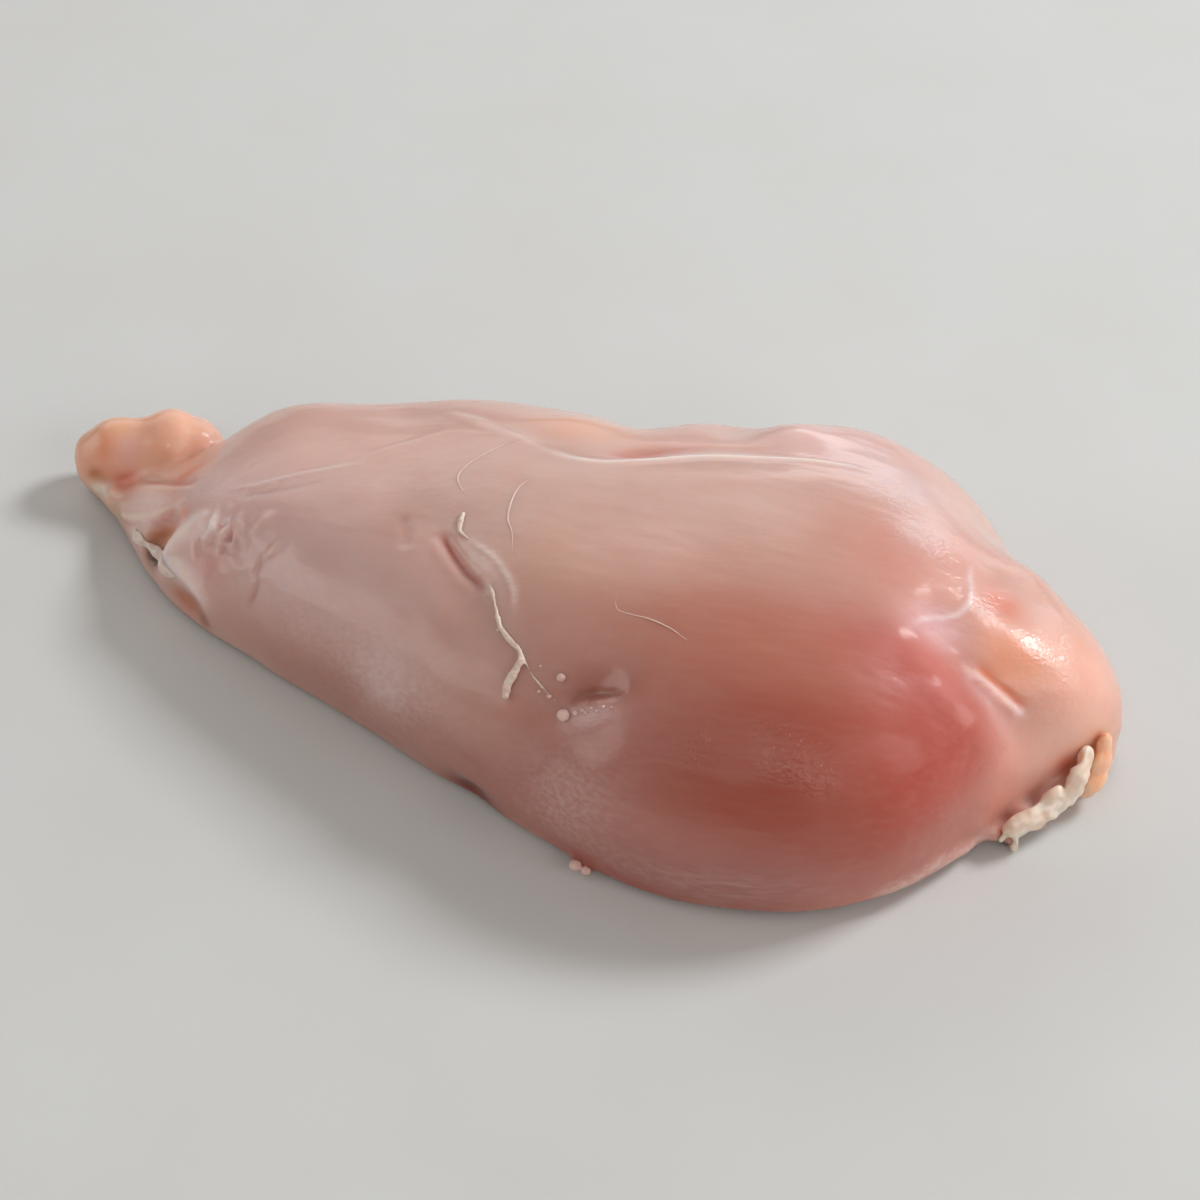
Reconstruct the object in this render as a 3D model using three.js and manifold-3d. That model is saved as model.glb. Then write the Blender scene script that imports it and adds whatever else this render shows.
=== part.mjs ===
// Raw chicken breast: one boneless, skinless half breast that lies on its cut side.
// Millimetres, +Z up. +X runs from the thin tail to the thick shoulder end, the near edge is at -Y,
// and the origin is the middle of the footprint on the table.
import * as THREE from "three";
import { mergeVertices } from "three/addons/utils/BufferGeometryUtils.js";
import Module from "manifold-3d";

// Driving dimensions.
const LENGTH = 193; // tail tip to shoulder end
const WIDTH = 96.5; // across the broadest part
const THICKNESS = 40; // at the crest

// The muscle from tail to shoulder, as shares of LENGTH, WIDTH and THICKNESS:
// x, near edge y, far edge y, crest y, crest height, height of the outermost point of the side.
const STATIONS = [
  [-0.475, 0.02, 0.076, 0.051, 0.1, 0.05],
  [-0.425, -0.03, 0.107, 0.046, 0.2, 0.08],
  [-0.375, -0.117, 0.152, 0.036, 0.3, 0.1],
  [-0.318, -0.193, 0.254, 0.036, 0.5, 0.13],
  [-0.24, -0.254, 0.305, 0.036, 0.65, 0.15],
  [-0.13, -0.315, 0.371, 0.025, 0.79, 0.17],
  [-0.01, -0.396, 0.411, 0.005, 0.9, 0.18],
  [0.093, -0.457, 0.437, -0.005, 0.97, 0.19],
  [0.185, -0.498, 0.487, 0.005, 1, 0.2],
  [0.266, -0.482, 0.487, 0.01, 0.99, 0.22],
  [0.337, -0.421, 0.416, 0.015, 0.93, 0.24],
  [0.398, -0.295, 0.325, 0.046, 0.8, 0.25],
  [0.449, -0.076, 0.228, 0.076, 0.66, 0.27],
  [0.5, 0.02, 0.193, 0.096, 0.52, 0.26],
];
const TAIL_ROUND = 9; // how far from each end the section closes
const SHOULDER_ROUND = 12;
const END_EDGE = 0.35; // height of the side's outermost point at the very ends, as a share of its own
const TOP_POWER = 2.25; // superellipse powers: 2 is round, more is boxier
const BASE_POWER = 5;
const SINK = 1.2; // the underside is pressed flat by this much

// Places where the near edge curls up off the table: x, reach along x, height.
const LIFTS = [
  [-4, 7, 1.4],
  [76, 9, 2.6],
];
const LIFT_FROM = 0.78; // share of the way out to the near edge where a lift begins

// Relief begins and is full at these heights, as multiples of the height of the outermost point of the side.
const RELIEF_FROM = 0.6;
const RELIEF_FULL = 1.8;

// Soft swellings and hollows on the skin side: x, y, reach along, reach across, turn in degrees, rise.
const SWELLINGS = [
  [-56, 19, 10, 9, 0, 1.4], // four lobes along the far side, from the tail on
  [-27, 26, 15, 9, 8, 0.9],
  [15, 33, 8, 8, 0, 1],
  [38, 38, 14, 10, -15, 2.8],
  [3, 31, 6, 8, 30, -1.8], // dip between the second lobe and the third
  [93, 11, 8, 10, 20, 1.6], // knob at the shoulder end
  [71, 29, 10, 9, -50, -2.8], // dip behind it
  [56, -30, 23, 14, 12, 1.6], // belly of the muscle
  [17, -41, 5, 12, -35, -1.6], // hollow between belly and flank
  [-30, -18, 16, 9, -30, 0.9], // flank
  [24, -37.5, 4.5, 2.8, 15, -2.4], // pit
];

// Creases: a path in plan from end to end, depth, half width, and height of the lip on its near side.
const CREASES = [
  { path: [[63, 0], [71.5, -5.9], [79.3, -8.2], [88, -5]], depth: 3, half: 3.2, lip: 0.5 }, // shoulder fold
  { path: [[-19, -5], [-9.5, -15.5], [-4, -21.6], [2, -27]], depth: 2.2, half: 2.8, lip: 0.4 }, // tear
  { path: [[-27, -4], [-20.7, -11.3], [-16, -19]], depth: 0.9, half: 2.4, lip: 0.2 },
  { path: [[-24, 16], [-6, 11], [8, 11], [20, 16], [34, 21], [56, 31]], depth: 1, half: 3, lip: 0.6 }, // seam
  { path: [[-66, -8], [-68, -12], [-70, -17]], depth: 2.2, half: 2.6, lip: 0.6 }, // under the tail's flap
  { path: [[-48, -16], [-46, -24], [-44, -30]], depth: 1, half: 2.2, lip: 0.3 },
];
const CREASE_FADE = 0.25; // share of a crease's length over which each end fades
const CREASE_POINTS = 24;
const CREASE_REACH = 5; // half widths past which a crease has no effect
const LIP_AT = 1.6; // half widths from the crease to the top of its lip

// Lumps fused on: centre x, y, z, then the three half sizes and the turn about Z in degrees.
const TAIL_LOBES = [
  [-89.3, 7, 6, 7, 6, 6.4, 10],
  [-84.5, 8.6, 6.4, 7, 6.6, 6.4, 35],
  [-76, 12.5, 7.4, 7.2, 7, 7.4, 30],
  [-72.5, 11, 6, 7.5, 5.5, 6, 20],
  [-80, 3, 3.6, 8, 5.5, 4, 0],
];
const FAT_FRINGE = [
  [83.8, -12.6, 3, 2.6, 2.2, 2, 55],
  [85.9, -12, 2, 1.5, 2.4, 2, 35],
  [87, -9.2, 3.6, 2.8, 2.2, 2.4, 55],
  [88.8, -7, 2.8, 1.8, 2.4, 2.4, 35],
  [90, -4.4, 4.4, 2.8, 2, 2.6, 60],
  [91.5, -1.6, 5, 2.6, 1.9, 3, 65],
  [92.6, 1.4, 7, 2.4, 1.6, 3, 70],
];
const FAT_EDGE = [
  [94, 7, 4.2, 2.6, 4.6, 4.4, -10], // orange strip beside the fringe
  [25.6, -45.2, 2.6, 1.3, 1.3, 1.3, 0], // grains under the near edge
  [27.6, -45.6, 2.4, 1.1, 1.1, 1.1, 0],
];

// Grains of fat on the skin: x, y and radius.
const BEADS = [
  [20.8, -38.6, 1.6],
  [20.2, -37, 1.1],
  [18.4, -34.8, 0.9],
  [21.8, -32, 1.1],
];

// Tendon threads that lie on the flesh: a path in plan, and their radius.
const THREADS = [
  { path: [[-10.6, -10.4], [-8.9, -14], [-5.6, -16.8], [0.4, -21], [4.2, -26], [9.7, -32.6]], radius: 0.8 },
  { path: [[9.6, -32.2], [9.7, -34.6], [9.3, -37.6]], radius: 1.1 }, // its loose end
];
const THREAD_SIDES = 7;
const THREAD_STEP = 2.2;

// Subdivisions of the lumps.
const LOBE_DETAIL = 3;
const FAT_DETAIL = 2;
const BEAD_DETAIL = 1;

// Mesh of the muscle.
const ROWS = 86;
const TOP_COLUMNS = 41;
const BASE_COLUMNS = 10;
const ROW_EASE = 0.55; // how far the rows crowd towards the ends, from 0 to 1
const STEP = 0.2; // for slopes, in millimetres
const TURN_STEP = 0.02; // and in radians

const wasm = await Module();
wasm.setup();

const shares = [LENGTH, WIDTH, WIDTH, WIDTH, THICKNESS, THICKNESS];
const stations = STATIONS.map((row) => row.map((value, i) => value * shares[i]));
const TAIL_X = stations[0][0];
const SHOULDER_X = stations[stations.length - 1][0];

const smooth = (t) => {
  const s = Math.min(Math.max(t, 0), 1);
  return s * s * (3 - 2 * s);
};
const radians = (degrees) => (degrees * Math.PI) / 180;

// A smooth curve through one column of the stations.
function along(x, column) {
  const last = stations.length - 1;
  let i = 0;
  while (i < last - 1 && x > stations[i + 1][0]) i++;
  const slope = (k) => {
    const a = stations[Math.max(k - 1, 0)];
    const b = stations[Math.min(k + 1, last)];
    return (b[column] - a[column]) / (b[0] - a[0]);
  };
  const [p, q] = [stations[i], stations[i + 1]];
  const span = q[0] - p[0];
  const t = Math.min(Math.max((x - p[0]) / span, 0), 1);
  const [t2, t3] = [t * t, t * t * t];
  return (
    p[column] * (2 * t3 - 3 * t2 + 1) +
    q[column] * (3 * t2 - 2 * t3) +
    span * (slope(i) * (t3 - 2 * t2 + t) + slope(i + 1) * (t3 - t2))
  );
}

// 1 in the middle of the muscle, falling on a quarter circle to 0 at each end.
function closing(x) {
  const round = (t) => Math.sqrt(Math.max(1 - (1 - t) * (1 - t), 0));
  const tail = Math.min((x - TAIL_X) / TAIL_ROUND, 1);
  const shoulder = Math.min((SHOULDER_X - x) / SHOULDER_ROUND, 1);
  return round(tail) * round(shoulder);
}

function sectionAt(x) {
  const close = closing(x);
  const crest = along(x, 3);
  const edge = along(x, 5);
  return {
    crest,
    near: (crest - along(x, 1)) * close,
    far: (along(x, 2) - crest) * close,
    edge: edge * (END_EDGE + (1 - END_EDGE) * close),
    rise: Math.max(along(x, 4) - edge, 0) * close,
  };
}

function liftAt(x) {
  return LIFTS.reduce((sum, [at, reach, height]) => sum + height * Math.exp(-(((x - at) / reach) ** 2)), 0);
}

// The smooth muscle before its relief: x along it, angle round it (0 at the far edge, pi at the near one).
function smoothPoint(x, angle) {
  const s = sectionAt(x);
  const [c, v] = [Math.cos(angle), Math.sin(angle)];
  const power = 2 / (v >= 0 ? TOP_POWER : BASE_POWER);
  const out = Math.sign(c) * Math.abs(c) ** power;
  const up = Math.abs(v) ** power;
  const y = s.crest + (c > 0 ? s.far : s.near) * out;
  if (v >= 0) return new THREE.Vector3(x, y, s.edge + s.rise * up);
  const lift = liftAt(x) * smooth((-out - LIFT_FROM) / (1 - LIFT_FROM));
  return new THREE.Vector3(x, y, Math.max(s.edge - (s.edge + SINK) * up, Math.min(lift, s.edge), 0));
}

// Height of the smooth skin side over a point in plan.
function heightOver(x, y) {
  const s = sectionAt(x);
  const out = Math.min(Math.abs((y - s.crest) / (y > s.crest ? s.far : s.near)), 1);
  return s.edge + s.rise * (1 - out ** TOP_POWER) ** (1 / TOP_POWER);
}

function onMuscle([x, y]) {
  return new THREE.Vector3(x, y, heightOver(x, y));
}

const creases = CREASES.map((crease) => {
  const points = new THREE.CatmullRomCurve3(crease.path.map(onMuscle)).getPoints(CREASE_POINTS);
  return { ...crease, points };
});

// Nearest point of a crease: distance, share of its length, and which side of it p lies on.
function nearest(points, p) {
  let best = { distance: Infinity };
  for (let i = 0; i < points.length - 1; i++) {
    const segment = new THREE.Line3(points[i], points[i + 1]);
    const t = segment.closestPointToPointParameter(p, true);
    const foot = segment.at(t, new THREE.Vector3());
    const distance = foot.distanceTo(p);
    if (distance >= best.distance) continue;
    const run = segment.delta(new THREE.Vector3());
    const side = Math.sign(run.x * (p.y - foot.y) - run.y * (p.x - foot.x));
    best = { distance, share: (i + t) / (points.length - 1), side };
  }
  return best;
}

function creaseRelief({ points, depth, half, lip }, p) {
  const { distance, share, side } = nearest(points, p);
  if (distance > CREASE_REACH * half) return 0;
  const fade = smooth(share / CREASE_FADE) * smooth((1 - share) / CREASE_FADE);
  const valley = -depth * Math.exp(-((distance / half) ** 2));
  const ridge = side < 0 ? lip * Math.exp(-((distance / half - LIP_AT) ** 2)) : 0;
  return fade * (valley + ridge);
}

function swellingRelief([x, y, reachAlong, reachAcross, turn, rise], p) {
  const [c, s] = [Math.cos(radians(turn)), Math.sin(radians(turn))];
  const [dx, dy] = [p.x - x, p.y - y];
  const a = (dx * c + dy * s) / reachAlong;
  const b = (dy * c - dx * s) / reachAcross;
  return rise * Math.exp(-(a * a + b * b));
}

function relief(p) {
  const swell = SWELLINGS.reduce((sum, item) => sum + swellingRelief(item, p), 0);
  return creases.reduce((sum, item) => sum + creaseRelief(item, p), swell);
}

// The skin over a point in plan, with its relief.
function onSkin([x, y]) {
  const p = onMuscle([x, y]);
  const alongX = onMuscle([x + STEP, y]).sub(p);
  const alongY = onMuscle([x, y + STEP]).sub(p);
  return p.addScaledVector(alongX.cross(alongY).normalize(), relief(p));
}

// A point of the skin: the smooth muscle pushed in or out by its relief, which dies away at the table.
function skinPoint(x, angle) {
  const p = smoothPoint(x, angle);
  const alongX = smoothPoint(x + STEP, angle).sub(smoothPoint(x - STEP, angle));
  const around = smoothPoint(x, angle + TURN_STEP).sub(smoothPoint(x, angle - TURN_STEP));
  const normal = around.cross(alongX).normalize();
  const edge = sectionAt(x).edge;
  const weight = angle > Math.PI ? 0 : smooth((p.z / edge - RELIEF_FROM) / (RELIEF_FULL - RELIEF_FROM));
  p.addScaledVector(normal, relief(p) * weight);
  return p;
}

function rowX(row) {
  const t = row / ROWS;
  const eased = (1 - Math.cos(Math.PI * t)) / 2;
  return TAIL_X + (SHOULDER_X - TAIL_X) * (t + ROW_EASE * (eased - t));
}

function columnAngle(column) {
  if (column <= TOP_COLUMNS) return (Math.PI * column) / TOP_COLUMNS;
  return Math.PI * (1 + (column - TOP_COLUMNS) / BASE_COLUMNS);
}

function muscle() {
  const columns = TOP_COLUMNS + BASE_COLUMNS;
  const positions = [];
  const faces = [];
  for (let row = 1; row < ROWS; row++)
    for (let column = 0; column < columns; column++)
      positions.push(...skinPoint(rowX(row), columnAngle(column)));
  const at = (row, column) => (row - 1) * columns + (column % columns);
  for (let row = 1; row < ROWS - 1; row++)
    for (let column = 0; column < columns; column++) {
      const [a, b] = [at(row, column), at(row + 1, column)];
      const [c, d] = [at(row + 1, column + 1), at(row, column + 1)];
      faces.push(a, c, b, a, d, c);
    }
  for (const [row, x] of [[1, TAIL_X], [ROWS - 1, SHOULDER_X]]) {
    const pole = positions.length / 3;
    const s = sectionAt(x);
    positions.push(x, s.crest, s.edge);
    for (let column = 0; column < columns; column++)
      if (row === 1) faces.push(pole, at(row, column + 1), at(row, column));
      else faces.push(pole, at(row, column), at(row, column + 1));
  }
  const geometry = new THREE.BufferGeometry();
  geometry.setAttribute("position", new THREE.Float32BufferAttribute(positions, 3));
  geometry.setIndex(faces);
  return geometry;
}

// An ellipsoid with few sides, turned about Z.
function lump([x, y, z, along, across, up, turn = 0], detail) {
  const geometry = new THREE.IcosahedronGeometry(1, detail);
  geometry.scale(along, across, up).rotateZ(radians(turn)).translate(x, y, z);
  return geometry;
}

function thread({ path, radius }) {
  const curve = new THREE.CatmullRomCurve3(path.map(onSkin));
  const section = new THREE.Shape().absarc(0, 0, radius, 0, 2 * Math.PI);
  return new THREE.ExtrudeGeometry(section, {
    extrudePath: curve,
    steps: Math.ceil(curve.getLength() / THREAD_STEP),
    curveSegments: THREAD_SIDES,
  });
}

function solid(geometry) {
  const bare = new THREE.BufferGeometry();
  bare.setAttribute("position", geometry.getAttribute("position"));
  if (geometry.index) bare.setIndex(geometry.index);
  const merged = mergeVertices(bare, 1e-4);
  return new wasm.Manifold(
    new wasm.Mesh({
      numProp: 3,
      vertProperties: new Float32Array(merged.getAttribute("position").array),
      triVerts: new Uint32Array(merged.index.array),
    }),
  );
}

function geometryOf(manifold) {
  const mesh = manifold.getMesh();
  const geometry = new THREE.BufferGeometry();
  geometry.setAttribute("position", new THREE.BufferAttribute(mesh.vertProperties, 3));
  geometry.setIndex(new THREE.BufferAttribute(mesh.triVerts, 1));
  return geometry;
}

// The muscle with everything that is fused to it, cut level at the table.
function breastGeometry() {
  const lumps = [
    ...TAIL_LOBES.map((item) => lump(item, LOBE_DETAIL)),
    ...[...FAT_FRINGE, ...FAT_EDGE].map((item) => lump(item, FAT_DETAIL)),
    ...BEADS.map(([x, y, r]) => lump([...onSkin([x, y]), r, r, r], BEAD_DETAIL)),
    ...THREADS.map(thread),
  ];
  const whole = lumps.reduce((sum, geometry) => sum.add(solid(geometry)), solid(muscle()));
  const table = new THREE.BoxGeometry(2 * LENGTH, 2 * WIDTH, THICKNESS).translate(0, 0, -THICKNESS / 2);
  return geometryOf(whole.subtract(solid(table)));
}

const breast = new THREE.Mesh(
  breastGeometry(),
  new THREE.MeshStandardMaterial({ color: 0xd9a193, roughness: 0.35, metalness: 0 }),
);
breast.name = "chicken_breast";

const part = new THREE.Group();
part.add(breast);
export default part;
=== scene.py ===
# Raw chicken breast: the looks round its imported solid.
# Lengths in this file are millimetres in the part's own frame, and MM turns them into Blender's metres.
# Colours are linear red, green and blue.
import math

import bmesh
import bpy
import numpy as np
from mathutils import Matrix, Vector, noise
from mathutils.bvhtree import BVHTree


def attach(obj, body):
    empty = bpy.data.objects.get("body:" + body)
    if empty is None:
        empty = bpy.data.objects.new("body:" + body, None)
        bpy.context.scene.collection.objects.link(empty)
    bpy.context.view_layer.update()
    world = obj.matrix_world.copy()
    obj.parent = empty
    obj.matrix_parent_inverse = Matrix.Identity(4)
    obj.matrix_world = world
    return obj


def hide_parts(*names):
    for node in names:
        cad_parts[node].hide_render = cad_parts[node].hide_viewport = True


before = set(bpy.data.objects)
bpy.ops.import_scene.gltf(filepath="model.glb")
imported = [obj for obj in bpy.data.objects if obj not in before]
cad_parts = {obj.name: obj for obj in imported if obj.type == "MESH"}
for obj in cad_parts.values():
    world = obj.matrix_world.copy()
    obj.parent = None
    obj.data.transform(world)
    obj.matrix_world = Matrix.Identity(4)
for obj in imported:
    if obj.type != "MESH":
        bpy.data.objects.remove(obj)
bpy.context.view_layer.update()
MM = 0.001
BODY = "root"
NODE = "chicken_breast"

# Camera, fitted to the photograph. Angles are in degrees.
CAMERA_AZIMUTH = 24
CAMERA_ELEVATION = 42
CAMERA_DISTANCE = 600
CAMERA_TARGET = (11.6, -5.5, 20)
LENS = 110
SENSOR = 36

# Floor and light. Lengths are in metres.
FLOOR_HALF = 4
LIGHT_DISTANCE = 1.7
ROOM_COLOUR = (1, 0.93, 0.86, 1)
ROOM_STRENGTH = 0.05

# Soft panels: name, bearing and elevation in degrees, width and height in metres, power in watts, colour.
LIGHTS = [
    ("key", 40, 39, 0.48, 0.42, 17.4, (0.95, 0.98, 1)),
    ("window", -45, 30, 1.5, 1, 5.5, (1, 0.98, 0.97)),
    ("front left", -148, 50, 2, 1.4, 4.9, (1, 0.96, 0.92)),
    ("right", 114, 27, 1.4, 0.8, 8.4, (1, 0.96, 0.92)),
    ("left", -110, 18, 1.4, 0.6, 5.3, (1, 0.95, 0.9)),
    ("back", 0, 16, 1.2, 0.4, 4, (0.98, 0.98, 1)),
    ("low", 66, 17, 0.8, 0.5, 4, (1, 0.96, 0.92)),
    ("spark", 165, 44, 0.16, 0.16, 1.5, (1, 0.98, 0.95)),
]

# Mesh of the flesh.
WELD = 1e-6  # corners of the solid closer than this, in metres, become one
VOXEL = 0.58
SMOOTH_ROUNDS = 24
SMOOTH_STEPS = (0.5, -0.52)
LEVEL_ROUNDS = 200
LEVEL_STEPS = (0.5,)
LEVEL_SPREAD = 1.6
FLAT_BELOW = 0.3  # what is this close to the table lies flat on it
CLEAR_OF_TABLE = 0.05  # what does not lie flat on the table stays this far above it
LEAST_RING = 40  # a shorter ring of edges in the flat patch gets no face of its own
UNDERCUT = 0.5  # how far the edge on the table is drawn in
UNDERCUT_HEIGHT = 0.9

# Curves on the skin.
CURVE_STEP = 0.5
SPAN_SAMPLES = 16  # places between two points of a curve, before they are evened out
OVERHEAD = 100  # a height above the whole part

# Mesh of the small pieces.
PIECE_STEPS = (0.5, -0.5)
BALL_STEP = 0.3
NORMAL_STEP = 0.01
ROUND = (1, 1, 1)  # stretch of grains that are not drawn out

# Lobes of the tail, added to the solid before it is smoothed: x, y, z, then half sizes and turn.
TAIL_LOBES = [
    (-86.2, 7.9, 9, 6.9, 5.9, 6.3, 14),
    (-78.4, 10.6, 9.7, 6.6, 7, 7.5, 20),
    (-75, 11.8, 8.8, 6.4, 5.6, 6.5, 30),
]

# Where the solid's own folds are ironed out before finer ones are made:
# x, y, z, reach along, across and up, turn, strength.
LEVELLED = [
    (-10, -15, 32, 14, 8, 9, -50, 1),
    (2, -27, 31, 9, 6, 9, -55, 1),
    (9.5, -34, 28, 4, 5, 6, 0, 1),
    (20, -37, 27, 9, 6, 9, 10, 1),
    (-20, -12, 30, 7, 10, 8, -30, 1),
    (10, 12, 36, 40, 7, 9, 18, 1),
    (45, 25, 36, 16, 7, 9, 20, 1),
    (74, 0, 32, 15, 13, 14, -10, 1),
    (-46, -23, 17, 6, 9, 12, -10, 0.8),
    (-84, 7, 8, 6, 9, 9, 0, 0.5),
    (86.5, 5, 26.5, 4.5, 6, 7, 0, 1),
    (69, -12, 35, 5, 5, 6, 0, 0.8),
]

# Soft swellings and hollows: x, y, z, reach along, across and up, turn, rise.
SWELLS = [
    (84, 1.5, 28, 7, 6.5, 8, 0, 1.2),
    (90, 2.5, 23.5, 4.5, 6.5, 7, 0, 1.3),
    (75.5, 7, 33, 3, 3, 5, 0, -0.3),
    (95.6, 5, 9.5, 4, 6, 5, 0, -1.6),
    (87, -12, 3, 3, 3, 3, 0, -0.9),
    (76.7, 18.5, 29, 6, 5, 6, 0, 1.1),
    (-3, -18.5, 32, 6, 2.2, 4, -41, 0.45),
    (23, -33.5, 29.5, 6, 2.6, 5, 10, -0.9),
    (25, -37.2, 26.5, 6, 2, 5, 12, 0.8),
    (30, -37, 28, 6, 4, 6, 20, 0.4),
    (10.5, 14.5, 36, 5, 2, 5, 35, -0.7),
    (-33, 17, 28, 10, 6, 7, 0, -1),
    (-5, 20, 32, 8, 4, 6, 12, 0.8),
    (21, 29, 35, 4, 4, 5, 0, -0.45),
    (30, 30.5, 35, 6, 5, 6, 0, 1.4),
    (42, 33, 33, 5, 4, 6, 0, -0.3),
    (-55.4, -14.2, 18.6, 2.4, 1.8, 3, 20, 0.5),
    (-46.4, -13.4, 23, 1.6, 0.9, 3, 35, 0.5),
    (-42, -18.4, 21.9, 1.5, 1, 3, 30, 0.6),
    (-54.5, -18.6, 14.8, 2.6, 2.2, 4, -30, -0.5),
    (-68.3, -10.8, 9.8, 3.2, 1.7, 3, 22, -1.6),
    (-59, -19.6, 5.4, 4.5, 1.5, 2.4, -30, -1.1),
    (-69.4, -12.6, 6, 1.7, 0.9, 2, -40, -1),
    (-83.5, 1.4, 7.6, 3.4, 1.6, 2.6, 0, -0.8),
    (-95.5, 4.5, 5, 3.5, 5, 5, 0, -1.3),
    (3.5, -39.4, 3.4, 4.5, 2, 2.4, -18, -1.2),
]

# Crumpled skin: x, y, z, reach along, across and up, turn, height and grain.
CRUMPLES = [
    (-52.8, -15, 19, 4, 3, 4, -25, 2, 1.7),
    (-48, -18.5, 18.5, 6, 4, 5, -30, 0.35, 2.3),
    (-64, -12, 13, 9, 4, 7, -20, 0.3, 3),
    (-46, -20, 18, 5, 3.5, 5, -40, 0.3, 2.4),
    (-80, -2, 5, 7, 3, 4, -20, 0.35, 2.8),
    (25, -35.5, 27.5, 5, 2.4, 4, 10, 0.35, 1.8),
    (80, -8, 26, 7, 2.5, 4, 8, 0.14, 1.6),
    (-4, -19.5, 32, 6, 2.4, 4, -41, 0.2, 2),
    (82, -17, 4, 8, 5, 3, 60, 0.4, 3),
]

# Creases and ridges on the skin: name, route, depth (less than 0 stands proud), half width,
# rise of the bank on the left and on the right, and how far the skin is drawn together.
CREASES = [
    ("fold", [(75.4, -5.7), (77.7, -5.7), (79.5, -5.7), (81.2, -5.4), (82.8, -5.1), (84.6, -4.6)],
     0.45, 0.95, 0, 0.4, 0.3),
    ("lip", [(73.4, -7.1), (76, -7.4), (78.4, -7.2), (80.8, -6.6), (83.1, -5.8), (85.5, -4.8)],
     -0.12, 0.8, 0, 0, 0),
    ("arc", [(68.4, 12), (69.7, 8.4), (70.9, 5.5), (71.4, 2.8), (70.9, 0.5), (70.2, -0.8), (68.7, -2.4),
             (66.5, -5), (65.6, -8.7)], -0.07, 0.4, 0, 0, 0),
    ("seam start", [(-29, 19.3), (-22, 16.6), (-11.3, 12.7), (-4, 9.6)], -0.2, 0.9, 0, 0, 0),
    ("seam", [(-9, 12), (-0.6, 8.6), (5.3, 8.6), (8.6, 9.7), (14.4, 12.6), (20.1, 16.1), (26.2, 18.3),
              (35.5, 21.3), (44.3, 23.2), (50, 24)], -0.4, 0.8, 0, 0, 0.2),
    ("behind seam", [(2, 10.6), (8, 12.4), (13, 15.8), (18.8, 19.4), (25.4, 21.4), (34.2, 24)],
     0.4, 1, 0, 0, 0.1),
    ("upper line", [(-36, -1), (-32.7, 3.6), (-28.1, 7.5), (-23.9, 11.2), (-19.4, 12.3), (-14.8, 12.8)],
     -0.14, 0.6, 0, 0, 0),
    ("tear", [(-14.3, -12.4), (-12.7, -13.5), (-9, -16.8), (-5.6, -19.3), (-2.1, -21.4), (-0.4, -23)],
     0.7, 1, 0.2, 0.25, 0.2),
    ("film edge", [(-9, -13), (-7.3, -13.9), (-2.1, -16.7), (1.5, -19.6), (3.8, -22), (4.8, -23.8),
                   (6, -26.4)], -0.2, 0.4, 0, 0, 0),
    ("pit", [(19, -35.5), (21.3, -34.9), (23.5, -34.5), (25.4, -34.4), (27, -34.6), (29, -35.2)],
     0.5, 1, 0, 0.3, 0.3),
    ("rim", [(70, -37, 4), (75, -30.5, 4.4), (77.7, -26.5, 4.9), (79.6, -22.5, 4.1), (81.2, -18.2, 3),
             (82.9, -15, 3.4), (84.6, -13, 4.8)], -0.4, 1.2, 0, 0, 0),
    ("mark", [(-21.5, -10.5), (-19.2, -14), (-17.4, -17.4)], 0.3, 0.9, 0, 0, 0),
    ("strip", [(-57.8, -9.4, 19.8), (-58.9, -11.6, 18.3), (-60.7, -12.6, 16.6), (-62.3, -13.8, 14.5),
               (-64.2, -14.5, 12), (-64.5, -15.3, 10.2), (-63.4, -16.5, 9.9), (-60.2, -18.3, 10.6),
               (-57.2, -19.8, 10.4), (-55.4, -20.9, 9.7), (-54.2, -21.6, 8.5), (-53.5, -22, 5.4)],
     -0.7, 1.5, 0, 0, 0),
    ("flap", [(-82.4, -2.9, 3.4), (-80.7, -3.9, 3.4), (-77.5, -6.3, 5.7), (-73.1, -8.5, 9), (-69.6, -8.9, 11),
              (-67.7, -8.1, 12.4), (-65.8, -8.5, 14.8), (-63.9, -8.6, 16.4)], 0.3, 0.7, 0.6, 0, 0.1),
    ("lobe edge", [(-80.5, 1, 8.6), (-75.3, 1, 10.4), (-69.6, -1, 13.7), (-64.2, -3.2, 17.7)],
     0.45, 0.9, 0.1, 0.2, 0.2),
    ("wrinkle", [(-57.8, -14.8, 16.8), (-57.7, -15.8, 16), (-57.2, -17, 15.2), (-56.4, -18.2, 14.4)],
     0.3, 0.9, 0, 0.1, 0.1),
    ("tail crease", [(-45, -18.2), (-43.8, -19.6), (-43.9, -21), (-43.2, -22.2), (-44.2, -23.8)],
     0.3, 0.9, 0, 0.15, 0.2),
    ("tail edge", [(-89.6, 2, 4), (-88.2, 1.4, 4.4), (-86.6, 0.8, 5), (-85, 0.4, 5.4)], -0.45, 0.8, 0, 0, 0),
    ("tail line", [(-57.8, -6.8), (-51.3, -6), (-43, -3.1), (-37.8, -1.2), (-33, 0.6)], -0.18, 0.5, 0, 0, 0),
    ("tail furrow", [(-54.2, -8.6), (-47.8, -7.8), (-42.6, -6.7), (-38.1, -4.3)], 0.16, 0.5, 0, 0, 0),
]
CREASE_ENDS = 0.22  # share of a route over which it fades at each end
# In half widths from the middle of a crease, ridge or trail:
BANK_AT = 1.9  # the top of its bank
PULL_REACH = 2.2  # how wide the skin is drawn together
CREASE_REACH = 5  # where a crease ends
TRAIL_REACH = 4  # where colour or film along it ends

# Unevenness of the whole skin: height, grain, stretch and seed.
UNEVEN = [
    (0.16, 11, ROUND, 0),
    (0.05, 3.2, (1.6, 1, 1), 7),
    (0.03, 1.5, (5, 1, 1), 13),
]
UNEVEN_RISE = 2  # it grows over this height above what lies flat on the table
LEAST_CRUMPLE = 0.02  # share of a crumple's height below which it is left out

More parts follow.
